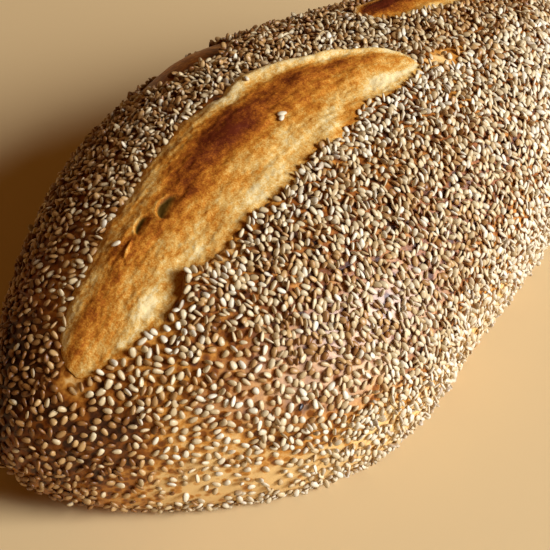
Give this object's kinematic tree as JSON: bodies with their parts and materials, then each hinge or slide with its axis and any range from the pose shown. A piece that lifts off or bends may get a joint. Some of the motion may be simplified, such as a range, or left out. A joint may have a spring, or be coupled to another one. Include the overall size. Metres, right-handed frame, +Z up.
{
  "type": "semolina bread",
  "caption": "Hand-shaped oval loaf with drawn-in ends, a sesame-covered crust and long burst slashes along its crown, resting on a flat base.",
  "frame": {"origin": "middle of the loaf's outline, on the surface that its base rests on", "axes": "+X along the loaf to its slimmer end, +Y across it to the side that the long slash bows to, +Z up"},
  "size_m": [0.312, 0.1624, 0.0882],
  "materials": {
    "crust": "baked crust, dry and slightly satin, golden brown to dark brown",
    "bare_crust": "crust that opened in the oven, dry and finely blistered, pale gold to dark brown",
    "sesame": "hulled sesame seed, toasted cream to tan, slightly satin"
  },
  "bodies": {
    "root": {"loaf": "crust"}
  },
  "joints": []
}
